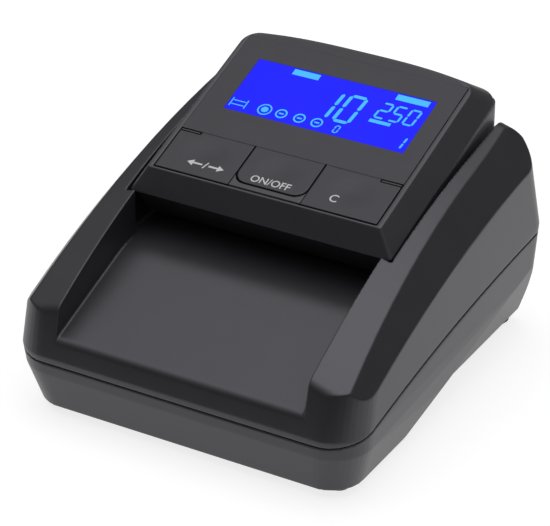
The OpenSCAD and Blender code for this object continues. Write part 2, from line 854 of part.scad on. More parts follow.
module motor_pinion() {
    color(nylon) translate([gear_x, motor_y, motor_z])
        spur_gear(pinion_teeth, pinion_phase, motor_shaft_r + run_gap / 2);
}

module idler_pin() {
    color(steel) union() {
        bar(frame_x, idler_y, shaft_z, idler_pin_r, gear_x + gear_w + 0.3 - frame_x);
        bar(frame_x + frame_t, idler_y, shaft_z, idler_pin_r + 1.2, gear_x - frame_x - frame_t - 0.3);
        bar(gear_x + gear_w + 0.3, idler_y, shaft_z, idler_pin_r + 1, 0.6);
    }
}

module idler_gear() {
    color(nylon) translate([gear_x, idler_y, shaft_z]) spur_gear(idler_teeth, 0, idler_pin_r + run_gap);
}

module feed_shaft(y, left_x) {
    color(steel) bar(left_x, y, shaft_z, shaft_r, shaft_end_x - left_x);
}

module rollers(y, z, r, hole_r) {
    color(dark) for (x = roller_places()) difference() {
        translate([x, y, z]) rotate([0, 90, 0]) rotate_extrude()
            polygon([[hole_r, -roller_w / 2], [r - 0.5, -roller_w / 2], [r, -roller_w / 2 + 0.5],
                     [r, roller_w / 2 - 0.5], [r - 0.5, roller_w / 2], [hole_r, roller_w / 2]]);
        bar(x - roller_w, y, z, hole_r, roller_w * 2);
    }
}

module front_feed_shaft() { feed_shaft(front_shaft_y, encoder_x - encoder_t - 0.6); }
module rear_feed_shaft() { feed_shaft(rear_shaft_y, -frame_x - frame_t - 1.5); }
module front_feed_rollers() { rollers(front_shaft_y, shaft_z, feed_r, shaft_r + run_gap / 2); }
module rear_feed_rollers() { rollers(rear_shaft_y, shaft_z, feed_r, shaft_r + run_gap / 2); }

module front_shaft_gear() {
    color(nylon) translate([gear_x, front_shaft_y, shaft_z])
        spur_gear(shaft_teeth, front_phase, shaft_r + run_gap / 2);
}

module rear_shaft_gear() {
    color(nylon) translate([gear_x, rear_shaft_y, shaft_z])
        spur_gear(shaft_teeth, rear_phase, shaft_r + run_gap / 2);
}

module encoder_disc() {
    color(dark) difference() {
        union() {
            bar(encoder_x - encoder_t, front_shaft_y, shaft_z, encoder_r, encoder_t);
            bar(encoder_x - 0.1, front_shaft_y, shaft_z, shaft_r + 1.5, 1.2);
        }
        bar(encoder_x - 5, front_shaft_y, shaft_z, shaft_r + run_gap / 2, 10);
        translate([encoder_x - encoder_t, front_shaft_y, shaft_z]) for (i = [1 : encoder_slots])
            rotate([i * 360 / encoder_slots, 0, 0]) translate([-1, -0.5, encoder_r - 3]) cube([5, 1, 2]);
    }
}

module encoder_fork() {
    jaw = 1.4;
    slot = encoder_t + 1.6;
    foot_x = -frame_x - frame_t;
    tip_x = encoder_x - encoder_t / 2 - slot / 2 - jaw;
    low_z = shaft_z - encoder_r - 4;
    color(dark) difference() {
        translate([tip_x, front_shaft_y - 4, low_z]) cube([foot_x - tip_x, 8, 7]);
        translate([tip_x + jaw, front_shaft_y - 5, low_z + 3]) cube([slot, 10, 10]);
        bar(foot_x - 2.5, front_shaft_y, shaft_z, shaft_r + 3, 3);
    }
}

module bed_window() {
    color([0.7, 0.85, 0.95, 0.5]) translate([-sensor_w / 2, sensor_y - sensor_l / 2, bed_z - sensor_t])
        cube([sensor_w, sensor_l, sensor_t]);
}

module sensor_board(z) {
    color(board_green) difference() {
        translate([-sensor_post_x - 3, sensor_y - sensor_board_l / 2, z])
            cube([sensor_post_x * 2 + 6, sensor_board_l, board_t]);
        sensor_places() translate([0, 0, z - 1]) cylinder(r = small_screw_r + 0.2, h = board_t + 2);
    }
}

// A row of light emitters and receivers standing on z
module sensor_row(z, h) {
    color(dark) for (i = [-3 : 3]) if (i != 0)
        translate([i * sensor_w / 8 - 1.6, sensor_y - 1.6, z]) cube([3.2, 3.2, h]);
}

bed_board_z = bed_z - wall - sensor_drop - board_t;
module bed_sensor_board() { sensor_board(bed_board_z); }
module bed_sensors() { sensor_row(bed_board_z + board_t, sensor_drop - 0.4); }

module bed_sensor_screws() {
    color(steel) sensor_places() translate([0, 0, bed_board_z])
        screw(small_screw_r, board_t + 2.5, small_head_r, small_head_h);
}

// Rear end of the head shell's top edge in the side view, drawn in by t
function shell_top_rear(t) = face_point(face_l + cover_foot_rear - shell_rear_inset - t, -cover_h);

// Side view of the head shell under the cover, drawn in by t
function shell_outline(t) =
    let(top_front = face_point(cover_front_s - cover_chamfer + shell_front_inset + t, -cover_h),
        low_front = [throat_y + t * 0.6, slot_top_z + t],
        low_rear = [shell_rear_y - shell_heel[0] - t * 0.6, slot_top_z + t],
        heel = [shell_rear_y - t, slot_top_z + shell_heel[1] + t])
    concat([top_front], corner_arc(top_front, low_front, low_rear, 4), corner_arc(low_front, low_rear, heel, 2),
           [heel, [shell_rear_y - t, hinge_z - 3], shell_top_rear(t)]);

// The shell seen from above, drawn in by t, with round rear corners
module shell_plan(t) {
    rear = max(shell_rear_y, shell_top_rear(0)[0]);
    linear_extrude(far) hull() {
        translate([-shell_half + t, front_y]) square([(shell_half - t) * 2, 1]);
        for (side = [-1, 1]) translate([side * (shell_half - shell_rear_r), rear - shell_rear_r])
            circle(shell_rear_r - t, $fn = 48);
    }
}

module shell_block() {
    intersection() {
        across(shell_half * 2) polygon(shell_outline(0));
        shell_plan(0);
    }
}

module head_screw_places() {
    for (side = [-1, 1]) translate([side * (panel_half + 2.4), head_screw_s, -cover_h]) children();
}

module head_shell() {
    color(dark) difference() {
        union() {
            difference() {
                shell_block();
                shell_hollow();
            }
            intersection() {
                shell_block();
                union() {
                    on_face() head_screw_places() translate([0, 0, -far]) cylinder(r = head_boss_r, h = far);
                    both_sides() bar(shell_half - wall - hinge_pin_in, hinge_y, hinge_z, hinge_boss_r,
                                     hinge_pin_in + wall);
                    pinch_ribs();
                    sensor_places() translate([0, 0, slot_top_z])
                        cylinder(r = sensor_post_r, h = wall + sensor_drop);
                }
            }
        }
        on_face() head_screw_places() {
            translate([0, 0, -far - head_screw_seat]) cylinder(r = screw_head_r + 0.4, h = far);
            translate([0, 0, -head_screw_seat - 1]) cylinder(r = screw_r + 0.2, h = far);
        }
        both_sides() bar(shell_half - wall - hinge_pin_in, hinge_y, hinge_z, hinge_r + run_gap / 2, 20);
        both_sides() {
            bar(pinch_rib_x - 1, front_shaft_y, pinch_z, pinch_shaft_r + run_gap, pinch_rib_t + 2);
            bar(pinch_rib_x - 1, rear_shaft_y, pinch_z, pinch_shaft_r + run_gap, pinch_rib_t + 2);
        }
        roller_slots(slot_top_z - 1, wall + 2, pinch_r, pinch_z);
        head_window_space();
        sensor_places() translate([0, 0, slot_top_z + wall]) cylinder(r = small_screw_r + run_gap, h = far / 10);
    }
}

// Hollow of the shell, open at its top
module shell_hollow() {
    lift = heading(face_tilt + 90) * 5;
    hollow = shell_outline(wall);
    last = len(hollow) - 1;
    intersection() {
        across((shell_half - wall) * 2) polygon(concat([hollow[0] + lift], hollow, [hollow[last] + lift]));
        shell_plan(wall);
    }
}

module pinch_ribs() {
    both_sides() for (y = [front_shaft_y, rear_shaft_y])
        translate([pinch_rib_x, y - 4, slot_top_z]) cube([pinch_rib_t, 8, pinch_z - slot_top_z + 4]);
}

module head_window_space() {
    translate([-sensor_w / 2 - seat_gap, sensor_y - sensor_l / 2 - seat_gap, slot_top_z - 1])
        cube([sensor_w + seat_gap * 2, sensor_l + seat_gap * 2, sensor_t + 1]);
    translate([-sensor_w / 2 + 1.5, sensor_y - sensor_l / 2 + 1.5, slot_top_z - 1])
        cube([sensor_w - 3, sensor_l - 3, wall + 2]);
}

// The bowed rear edge of the cover between its corners, with a point in front of it
function rear_bow(half, rear) =
    concat([[0, rear - half]],
           [for (i = [-bow_steps : bow_steps]) let(u = i / bow_steps)
               [-half * u, rear + cover_bow * (1 - pow(abs(u), 3))]]);

// Outside of the head cover in the face frame, drawn in by t
module cover_block(t) {
    // Each level: height, how far it reaches out at the sides and at the rear, radius of the rear corners
    levels = [[-t, 0, 0, cover_rear_r], [-cover_h, cover_chamfer, cover_foot_rear, cover_foot_r]];
    hull() for (level = levels, side = [-1, 1]) {
        half = head_half - cover_chamfer + level[1] - t;
        front = cover_front_s - level[1] + t;
        rear = face_l + level[2] - t;
        rear_x = half - level[3];
        translate([side * (half - cover_front_r), front + cover_front_r, level[0]])
            cylinder(r = cover_front_r, h = level_t, $fn = 32);
        translate([side * rear_x, rear - level[3], level[0]]) cylinder(r = level[3], h = level_t, $fn = 32);
        translate([0, 0, level[0]]) linear_extrude(level_t) polygon(rear_bow(rear_x, rear));
    }
}

module head_cover() {
    color(dark) on_face() difference() {
        union() {
            difference() {
                cover_block(0);
                intersection() {
                    translate([0, 0, -0.02]) cover_block(wall);
                    translate([-far / 2, cover_hollow_rear - far, -cover_h - 1])
                        cube([far, far, cover_h + 1 - wall]);
                }
            }
            intersection() {
                cover_block(0.3);
                union() {
                    head_screw_places() cylinder(r = head_boss_r, h = cover_h);
                    panel_ledge();
                }
            }
            intersection() {
                cover_block(0);
                key_strip();
            }
        }
        difference() {
            face_opening();
            key_strip();
        }
        head_screw_places() translate([0, 0, -1]) cylinder(r = screw_r + run_gap, h = head_screw_grip + 1.3);
    }
}

// Outline of the strip in front of the centre key, with a horn up each of the key's round corners
function strip_outline(half) =
    let(corner = [half + fold_line, strip_l],
        arc = corner_arc([0, strip_l], corner, [corner[0], key_l], centre_key_r + key_gap),
        horn = [for (p = arc) if (p[0] < half - horn_tip) p],
        last = len(horn) - 1,
        right = concat([[half, 0], [half, horn[last][1]]], [for (i = [last : -1 : 0]) horn[i]]))
    concat(right, [for (i = [len(right) - 1 : -1 : 0]) [-right[i][0], right[i][1]]]);

// The strip, on a web from the front wall
module key_strip() {
    half = centre_key_w / 2 + key_gap / 2 - fold_line;
    translate([0, 0, -panel_t - strip_web]) linear_extrude(panel_t + strip_web) polygon(strip_outline(half));
    translate([-half, -cover_chamfer, -panel_t - strip_web]) cube([half * 2, cover_chamfer + strip_l, strip_web]);
}

// Ledge under the edge of the face panel
module panel_ledge() {
    translate([-panel_half - 2, key_l, -panel_t - ledge_t]) cube([panel_w + 4, panel_l - key_l + 2, ledge_t + 1]);
}

// Opening for the keys and the panel, with the ledge left under the panel
module face_opening() {
    open_half = panel_half + seat_gap;
    translate([-open_half, key_l - 1, -panel_t]) cube([open_half * 2, panel_l - key_l + 1 + seat_gap, far]);
    translate([-open_half + ledge_w, key_l - 1, -far])
        cube([(open_half - ledge_w) * 2, panel_l - key_l + 1 - ledge_w, far * 2]);
    translate([-open_half, -key_gap, -far]) cube([open_half * 2, key_l + key_gap, far * 2]);
}

module head_screws() {
    color(steel) on_face() head_screw_places() translate([0, 0, -head_screw_seat])
        screw(screw_r, head_screw_l, screw_head_r, screw_head_h);
}

module hinge_pins() {
    inner_x = shell_half - wall - hinge_pin_in;
    color(steel) both_sides()
        bar(inner_x, hinge_y, hinge_z, hinge_r, recess_half + hinge_boss_l - inner_x);
}

module display_post_places() {
    for (side = [-1, 1], s = [key_l + 5, panel_l - 4]) translate([side * display_post_x, s, 0]) children();
}

// Panel round the display, with posts for the board behind it
module face_panel() {
    color(charcoal) on_face() difference() {
        union() {
            translate([-panel_half, key_l, -panel_t]) cube([panel_w, panel_l - key_l, panel_t]);
            display_post_places() translate([0, 0, -display_board_n])
                cylinder(r = display_post_r, h = display_board_n - 0.5);
        }
        translate([window_x - window_w / 2 - seat_gap, window_s - seat_gap, -far])
            cube([window_w + seat_gap * 2, window_l + seat_gap * 2, far * 2]);
        display_post_places() translate([0, 0, -display_board_n - 1]) cylinder(r = small_screw_r + run_gap, h = 5);
    }
}

module display_window() {
    color([0.1, 0.2, 0.9, 0.5]) on_face() translate([window_x - window_w / 2, window_s, -window_t])
        cube([window_w, window_l, window_t]);
}

module display_module() {
    legs = display_board_n - window_t - display_t;
    color([0.1, 0.15, 0.85]) on_face() {
        translate([window_x - window_w / 2, window_s, -window_t - display_t])
            cube([window_w, window_l, display_t]);
        for (side = [-1, 1], s = [window_s + 2, window_s + window_l - 2])
            translate([window_x + side * (window_w / 2 - 3), s, -display_board_n]) cylinder(r = 1, h = legs + 0.5);
    }
}

module display_board() {
    color(board_green) on_face() difference() {
        translate([-display_board_w / 2, display_board_s, -display_board_n - board_t])
            cube([display_board_w, panel_l - 1 - display_board_s, board_t]);
        display_post_places() translate([0, 0, -display_board_n - board_t - 1])
            cylinder(r = small_screw_r + 0.2, h = board_t + 2);
    }
}

module display_screws() {
    color(steel) on_face() display_post_places() translate([0, 0, -display_board_n - board_t])
        screw(small_screw_r, board_t + 3, small_head_r, small_head_h);
}

function key_middles() = let(side_mid = (panel_half + centre_key_w / 2) / 2) [-side_mid, 0, side_mid];

module key_switches() {
    body_h = switch_h - 1;
    color(dark) on_face() for (x = key_middles()) translate([x, switch_s, -display_board_n]) {
        translate([-switch_w / 2, -switch_w / 2, 0]) cube([switch_w, switch_w, body_h]);
        cylinder(r = 1.7, h = switch_h);
    }
}

// Foot of a key over its switch
module key_foot(x) {
    reach = display_board_n - switch_h - panel_t - press_gap;
    translate([x, switch_s, -panel_t - reach]) cylinder(r = key_post_r, h = reach + 0.5);
}

// A side key seen from the right: slit at the outer end of its fold
module side_key() {
    inner = centre_key_w / 2 + key_gap / 2;
    outer = panel_half - key_gap / 2;
    difference() {
        union() {
            translate([inner, 0, -panel_t]) cube([outer - inner, key_l - fold_line, panel_t]);
            key_foot(key_middles()[2]);
        }
        translate([outer - slit_l, key_l - slit_w, -slit_depth]) cube([slit_l + 1, slit_w + 1, slit_depth + 1]);
    }
}

module key_right() { color(charcoal) on_face() side_key(); }
module key_left() { color(charcoal) on_face() mirror([1, 0, 0]) side_key(); }

module key_centre() {
    half = centre_key_w / 2 - key_gap / 2;
    front = strip_l + key_gap;
    corner = [half, front];
    right = corner_arc([0, front], corner, [half, key_l], centre_key_r);
    left = [for (i = [len(right) - 1 : -1 : 0]) [-right[i][0], right[i][1]]];
    color(charcoal) on_face() {
        translate([0, 0, -panel_t]) linear_extrude(panel_t)
            polygon(concat(right, [[half, key_l - fold_line], [-half, key_l - fold_line]], left));
        key_foot(0);
    }
}

module pinch_axle(y) {
    color(steel) bar(-pinch_rib_x - pinch_rib_t, y, pinch_z, pinch_shaft_r, (pinch_rib_x + pinch_rib_t) * 2);
}

module front_pinch_axle() { pinch_axle(front_shaft_y); }
module rear_pinch_axle() { pinch_axle(rear_shaft_y); }
module front_pinch_rollers() { rollers(front_shaft_y, pinch_z, pinch_r, pinch_shaft_r + run_gap / 2); }
module rear_pinch_rollers() { rollers(rear_shaft_y, pinch_z, pinch_r, pinch_shaft_r + run_gap / 2); }

module head_window() {
    color([0.7, 0.85, 0.95, 0.5]) translate([-sensor_w / 2, sensor_y - sensor_l / 2, slot_top_z])
        cube([sensor_w, sensor_l, sensor_t]);
}

head_board_z = slot_top_z + wall + sensor_drop;
module head_sensor_board() { sensor_board(head_board_z); }
module head_sensors() { sensor_row(head_board_z - sensor_drop + 0.4, sensor_drop - 0.4); }

// Reading head that looks through the window's middle
module magnetic_head() {
    color(steel) translate([-mag_w / 2, sensor_y - mag_l / 2 + 1, slot_top_z + sensor_t])
        cube([mag_w, mag_l - 2, head_board_z - slot_top_z - sensor_t]);
}

lower_case();
rubber_feet();
upper_case();
case_screws();
main_board();
board_parts();
board_screws();
buzzer();
power_inlet();
feed_frame();
frame_screws();
shaft_bushings();
drive_motor();
motor_screws();
motor_shaft();
motor_pinion();
idler_pin();
idler_gear();
front_feed_shaft();
front_feed_rollers();
front_shaft_gear();
encoder_disc();
encoder_fork();
rear_feed_shaft();
rear_feed_rollers();
rear_shaft_gear();
bed_window();
bed_sensor_board();
bed_sensors();
bed_sensor_screws();
head_shell();
head_cover();
head_screws();
hinge_pins();
face_panel();
display_window();
display_module();
display_board();
display_screws();
key_switches();
key_left();
key_centre();
key_right();
front_pinch_axle();
front_pinch_rollers();
rear_pinch_axle();
rear_pinch_rollers();
head_window();
head_sensor_board();
head_sensors();
magnetic_head();
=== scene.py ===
"""Looks of a desktop banknote counting machine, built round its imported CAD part."""
import json
import math

import bmesh
import bpy
from mathutils import Matrix, Vector


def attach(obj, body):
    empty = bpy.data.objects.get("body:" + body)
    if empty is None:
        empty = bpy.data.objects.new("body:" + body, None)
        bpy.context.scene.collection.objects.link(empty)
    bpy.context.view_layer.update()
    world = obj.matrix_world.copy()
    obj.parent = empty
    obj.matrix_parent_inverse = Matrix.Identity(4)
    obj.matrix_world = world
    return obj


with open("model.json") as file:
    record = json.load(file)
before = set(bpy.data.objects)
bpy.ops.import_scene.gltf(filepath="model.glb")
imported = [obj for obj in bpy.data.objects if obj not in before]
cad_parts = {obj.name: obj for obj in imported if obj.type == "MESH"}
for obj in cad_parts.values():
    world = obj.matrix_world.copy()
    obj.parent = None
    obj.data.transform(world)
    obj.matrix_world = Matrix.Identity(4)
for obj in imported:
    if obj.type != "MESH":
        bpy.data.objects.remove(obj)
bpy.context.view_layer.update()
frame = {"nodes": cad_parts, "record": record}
nodes = frame["nodes"]
scene = bpy.context.scene
scene.view_settings.view_transform = "Standard"

MM = 0.001

# Face frame: X across, Y up the face from the keys' front end, Z out of the face, in millimetres
FACE_FRONT = Vector((0, -12.9, 68.7))
FACE_TILT = math.radians(18.7)
FACE = Matrix.Scale(MM, 4) @ Matrix.Translation(FACE_FRONT) @ Matrix.Rotation(FACE_TILT, 4, "X")
KEY_LENGTH = 18.2
PANEL_HALF = 39.9
PANEL_LENGTH = 64.0
CENTRE_KEY_HALF = 12.7
KEY_GAP = 0.5
FOLD_LINE = 0.14

# Camera at the photograph's place, in metres, with its lens and sensor in millimetres
CAMERA_PLACE = Vector((0.3880, -0.6808, 0.4773))
CAMERA_TARGET = Vector((-0.00677, 0.00616, 0.03298))
CAMERA_LENS = 184.7
CAMERA_SENSOR = 36

camera_data = bpy.data.cameras.new("camera")
camera_data.sensor_width = CAMERA_SENSOR
camera_data.lens = CAMERA_LENS
camera = bpy.data.objects.new("camera", camera_data)
camera.location = CAMERA_PLACE
camera.rotation_euler = (CAMERA_TARGET - CAMERA_PLACE).to_track_quat("-Z", "Y").to_euler()
scene.collection.objects.link(camera)
scene.camera = camera

# Materials: noise scales in waves per metre, bump depths in millimetres
PLASTIC_TINT = (0.95, 0.93, 1, 1)
PLASTIC_GRAIN = 2600
PLASTIC_DRIFT = 90
PLASTIC_DEPTH = 0.03
RUBBER_GRAIN = 1500
RUBBER_DRIFT = 300
RUBBER_ROUGHNESS = 0.78
RUBBER_DEPTH = 0.05
METAL_MARKS = 900
METAL_DEPTH = 0.02
TRACK_SCALE = 160.0
TRACK_DEPTH = 0.05
MASK_GRAIN = 800
WINDOW_COLOUR = (0.5, 0.56, 0.6)
WINDOW_CLOUDS = 200
DISPLAY_CLOUDS = 45
DISPLAY_GRAIN = 700
RAMP_START = 0.3
RAMP_END = 0.7


def new_material(name):
    material = bpy.data.materials.new(name)
    material.use_nodes = True
    return material, material.node_tree, material.node_tree.nodes["Principled BSDF"]


def add_node(tree, kind, **values):
    node = tree.nodes.new(kind)
    for key, value in values.items():
        if key in node.inputs:
            node.inputs[key].default_value = value
        else:
            setattr(node, key, value)
    return node


def noise(tree, scale, detail=2.0, stretch=(1, 1, 1)):
    """Noise in the part's own frame, with scale in waves per metre."""
    place = add_node(tree, "ShaderNodeTexCoord")
    mapping = add_node(tree, "ShaderNodeMapping", Scale=stretch)
    texture = add_node(tree, "ShaderNodeTexNoise", Scale=scale, Detail=detail)
    tree.links.new(place.outputs["Object"], mapping.inputs["Vector"])
    tree.links.new(mapping.outputs["Vector"], texture.inputs["Vector"])
    return texture.outputs["Fac"]


def spread(tree, source, low, high):
    scaled = add_node(tree, "ShaderNodeMapRange")
    tree.links.new(source, scaled.inputs["Value"])
    scaled.inputs["To Min"].default_value = low
    scaled.inputs["To Max"].default_value = high
    return scaled.outputs["Result"]


def tint(tree, source, dark, light):
    ramp = add_node(tree, "ShaderNodeValToRGB")
    ramp.color_ramp.elements[0].color = (*dark, 1)
    ramp.color_ramp.elements[1].color = (*light, 1)
    ramp.color_ramp.elements[0].position = RAMP_START
    ramp.color_ramp.elements[1].position = RAMP_END
    tree.links.new(source, ramp.inputs["Fac"])
    return ramp.outputs["Color"]


def bump(tree, shader, source, strength, distance):
    bumped = add_node(tree, "ShaderNodeBump", Strength=strength, Distance=distance)
    tree.links.new(source, bumped.inputs["Height"])
    tree.links.new(bumped.outputs["Normal"], shader.inputs["Normal"])


def shade(colour, factor):
    return [channel * factor for channel in colour]


def finish_surface(tree, shader, colour, mottle, grain, vary, roughness, spread_by):
    """Colour that drifts with mottle, and roughness that follows grain."""
    varied = tint(tree, mottle, shade(colour, 1 - vary), shade(colour, 1 + vary))
    tree.links.new(varied, shader.inputs["Base Color"])
    rough = spread(tree, grain, roughness - spread_by, roughness + spread_by)
    tree.links.new(rough, shader.inputs["Roughness"])


def plastic(name, colour, roughness, strength=0.25, sheen=0.5):
    """Moulded plastic with a fine spark-eroded grain."""
    material, tree, shader = new_material(name)
    shader.inputs["Specular IOR Level"].default_value = sheen
    shader.inputs["Specular Tint"].default_value = PLASTIC_TINT
    grain = noise(tree, PLASTIC_GRAIN)
    drift = noise(tree, PLASTIC_DRIFT)
    finish_surface(tree, shader, colour, drift, grain, vary=0.06, roughness=roughness, spread_by=0.05)
    bump(tree, shader, grain, strength, PLASTIC_DEPTH * MM)
    return material


def rubber(name, colour):
    """Moulded rubber with a coarse dull grain."""
    material, tree, shader = new_material(name)
    grain = noise(tree, RUBBER_GRAIN, detail=4)
    drift = noise(tree, RUBBER_DRIFT)
    finish_surface(tree, shader, colour, drift, grain, vary=0.15, roughness=RUBBER_ROUGHNESS, spread_by=0.08)
    bump(tree, shader, grain, strength=0.4, distance=RUBBER_DEPTH * MM)
    return material


def metal(name, colour, roughness, stretch):
    """Brushed or turned metal, with its marks drawn out along one axis."""
    material, tree, shader = new_material(name)
    shader.inputs["Metallic"].default_value = 1
    marks = noise(tree, METAL_MARKS, detail=3, stretch=stretch)
    finish_surface(tree, shader, colour, marks, marks, vary=0.08, roughness=roughness, spread_by=0.1)
    bump(tree, shader, marks, strength=0.12, distance=METAL_DEPTH * MM)
    return material


def circuit_board(name):
    """Solder mask over copper tracks."""
    material, tree, shader = new_material(name)
    place = add_node(tree, "ShaderNodeTexCoord")
    tracks = add_node(tree, "ShaderNodeTexBrick", Scale=TRACK_SCALE)
    tracks.inputs["Color1"].default_value = (0.006, 0.085, 0.035, 1)
    tracks.inputs["Color2"].default_value = (0.008, 0.11, 0.045, 1)
    tracks.inputs["Mortar"].default_value = (0.02, 0.2, 0.08, 1)
    tree.links.new(place.outputs["Object"], tracks.inputs["Vector"])
    tree.links.new(tracks.outputs["Color"], shader.inputs["Base Color"])
    rough = spread(tree, noise(tree, MASK_GRAIN), low=0.25, high=0.4)
    tree.links.new(rough, shader.inputs["Roughness"])
    bump(tree, shader, tracks.outputs["Fac"], strength=0.3, distance=TRACK_DEPTH * MM)
    return material


def clear_window(name):
    """Clear plastic with a faint haze."""
    material, tree, shader = new_material(name)
    shader.inputs["Transmission Weight"].default_value = 0.7
    clouds = noise(tree, WINDOW_CLOUDS)
    finish_surface(tree, shader, WINDOW_COLOUR, clouds, clouds, vary=0.05, roughness=0.1, spread_by=0.04)
    return material


def lit_display(name, base, glow, vary):
    """Backlit liquid crystal behind a clear cover with an anti-glare coat."""
    material, tree, shader = new_material(name)
    shader.inputs["Specular IOR Level"].default_value = 0.1
    clouds = noise(tree, DISPLAY_CLOUDS)
    grain = noise(tree, DISPLAY_GRAIN)
    finish_surface(tree, shader, base, clouds, grain, vary=0.1, roughness=0.16, spread_by=0.04)
    light = tint(tree, clouds, shade(glow, 1 - vary), shade(glow, 1 + vary))
    tree.links.new(light, shader.inputs["Emission Color"])
    shader.inputs["Emission Strength"].default_value = 1
    return material


CHARCOAL = (0.030, 0.0293, 0.0335)
SLOT_MATERIALS = {
    "case_plastic": plastic("case_plastic", CHARCOAL, 0.38, sheen=0.68),
    # head_plastic is the case's charcoal painted 1.35 times lighter. This is painted light: it stands in for
    # the brighter light on the head's chamfers, front band and rear corner, and is not a different plastic
    "head_plastic": plastic("head_plastic", shade(CHARCOAL, 1.35), 0.40, sheen=0.66),
    "face_plastic": plastic("face_plastic", CHARCOAL, 0.44, sheen=0.56),
    "key_plastic": plastic("key_plastic", CHARCOAL, 0.44, sheen=0.56),
    "foot_rubber": rubber("foot_rubber", (0.016, 0.016, 0.017)),
    "roller_rubber": rubber("roller_rubber", (0.03, 0.03, 0.032)),
    "steel": metal("steel", (0.58, 0.58, 0.6), 0.28, (0.05, 1, 1)),
    "frame_steel": metal("frame_steel", (0.5, 0.5, 0.52), 0.36, (1, 0.08, 1)),
    "nylon": plastic("nylon", (0.72, 0.7, 0.63), 0.5, 0.15),
    "board": circuit_board("board"),
    "component_plastic": plastic("component_plastic", (0.02, 0.02, 0.022), 0.5, 0.15),
    "display_cover": lit_display("display_cover", (0.003, 0.004, 0.1), (0.007, 0.009, 0.95), 0.06),
    "display_body": plastic("display_body", (0.02, 0.02, 0.024), 0.5, 0.15),
    "sensor_window": clear_window("sensor_window"),
}
SEGMENTS = lit_display("display_segments", (0.02, 0.1, 0.3), (0.05, 0.43, 1.0), 0.05)
PRINT = plastic("label_print", (0.66, 0.66, 0.68), 0.5, 0.1)

for part in frame["record"]["subparts"]:
    node = nodes[part["node"]]
    node.data.materials.clear()
    node.data.materials.append(SLOT_MATERIALS[part["material_slot"]])


# Mouldings: the CAD shells with their edges softened as a mould leaves them
WELD_REACH = 0.02


def soften(node, cell, passes, kept):
    """Rounds a node's edges over a few cells, then thins its flat faces to the share that is kept."""
    weld = node.modifiers.new("weld", "WELD")
    weld.merge_threshold = WELD_REACH * MM
    even = node.modifiers.new("even", "REMESH")
    even.mode = "VOXEL"
    even.voxel_size = cell * MM
    even.use_smooth_shade = True
    smooth = node.modifiers.new("smooth", "SMOOTH")
    smooth.factor = 0.5
    smooth.iterations = passes
    thin = node.modifiers.new("thin", "DECIMATE")
    thin.ratio = kept
    normals = node.modifiers.new("normals", "WEIGHTED_NORMAL")
    normals.keep_sharp = False


# Each moulding: cell in millimetres, smoothing passes, share of the faces kept
KEY_SOFTENING = (0.2, 2, 0.5)
SHELLS = {
    "upper_case": (0.35, 5, 0.14),
    "lower_case": (0.35, 4, 0.14),
    "head_shell": (0.6, 4, 0.35),
    "head_cover": (0.25, 8, 0.15),
}
for name, values in SHELLS.items():
    soften(nodes[name], *values)


# Keys: softened, with a shallow finger dish
DISH_DEPTH = 0.3
DISH_SIZE = (9.5, 7.5, 1.2)
DISH_UP = 10.5
SIDE_KEY_X = (PANEL_HALF + CENTRE_KEY_HALF) / 2
KEYS = {"left": -SIDE_KEY_X, "centre": 0.0, "right": SIDE_KEY_X}

dish_shape = bpy.data.textures.new("dish_shape", "BLEND")
dish_shape.progression = "SPHERICAL"
dish_shape.use_color_ramp = True
dish_shape.color_ramp.interpolation = "EASE"
dish_shape.color_ramp.elements[0].color = (0, 0, 0, 1)
dish_shape.color_ramp.elements[1].color = (1, 1, 1, 1)


def dish(node, body, x):
    """Presses a shallow hollow into a key's top, and moves with the key."""
    place = bpy.data.objects.new(node.name + "_dish", None)
    scene.collection.objects.link(place)
    place.matrix_world = FACE @ Matrix.Translation((x, DISH_UP, 0)) @ Matrix.Diagonal((*DISH_SIZE, 1))
    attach(place, body)
    press = node.modifiers.new("dish", "DISPLACE")
    press.texture = dish_shape
    press.texture_coords = "OBJECT"
    press.texture_coords_object = place
    press.direction = "Z"
    press.mid_level = 0
    press.strength = -DISH_DEPTH * MM


for side, x in KEYS.items():
    key = nodes["key_" + side]
    soften(key, *KEY_SOFTENING)
    dish(key, side + "_key", x)


# Shapes drawn on the face
RING_STEPS = 40


def add_piece(name, data, body, material):
    piece = bpy.data.objects.new(name, data)
    scene.collection.objects.link(piece)
    data.materials.append(material)
    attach(piece, body)


def close_band(work, lower, upper):
    """Joins two loops of equal length with a band of faces."""
    for i in range(len(lower)):
        after = (i + 1) % len(lower)
        work.faces.new((lower[i], lower[after], upper[after], upper[i]))


def face_loop(work, outline, height):
    return [work.verts.new(FACE @ Vector((x, s, height))) for x, s in outline]


def add_prism(work, outline, low, high):
    """A closed prism on an outline that runs anticlockwise seen from above the face."""
    lower = face_loop(work, outline, low)
    upper = face_loop(work, outline, high)
    work.faces.new(lower[::-1])
    work.faces.new(upper)
    close_band(work, lower, upper)


def circle(x, s, radius, steps):
    turn = 2 * math.pi / steps
    return [(x + radius * math.cos(turn * i), s + radius * math.sin(turn * i)) for i in range(steps)]


def add_ring(work, x, s, inner, outer, low, high):
    """A closed flat ring."""
    loops = [face_loop(work, circle(x, s, radius, RING_STEPS), height)
             for radius, height in ((outer, low), (outer, high), (inner, high), (inner, low))]
    for loop, after in zip(loops, loops[1:] + loops[:1]):
        close_band(work, loop, after)


def mesh_from(work, name):
    data = bpy.data.meshes.new(name)
    bmesh.ops.recalc_face_normals(work, faces=work.faces)
    work.to_mesh(data)
    work.free()
    return data


def box_outline(x0, s0, x1, s1):
    return [(x0, s0), (x1, s0), (x1, s1), (x0, s1)]


def middle_box(x, s, half_x, half_s):
    return box_outline(x - half_x, s - half_s, x + half_x, s + half_s)


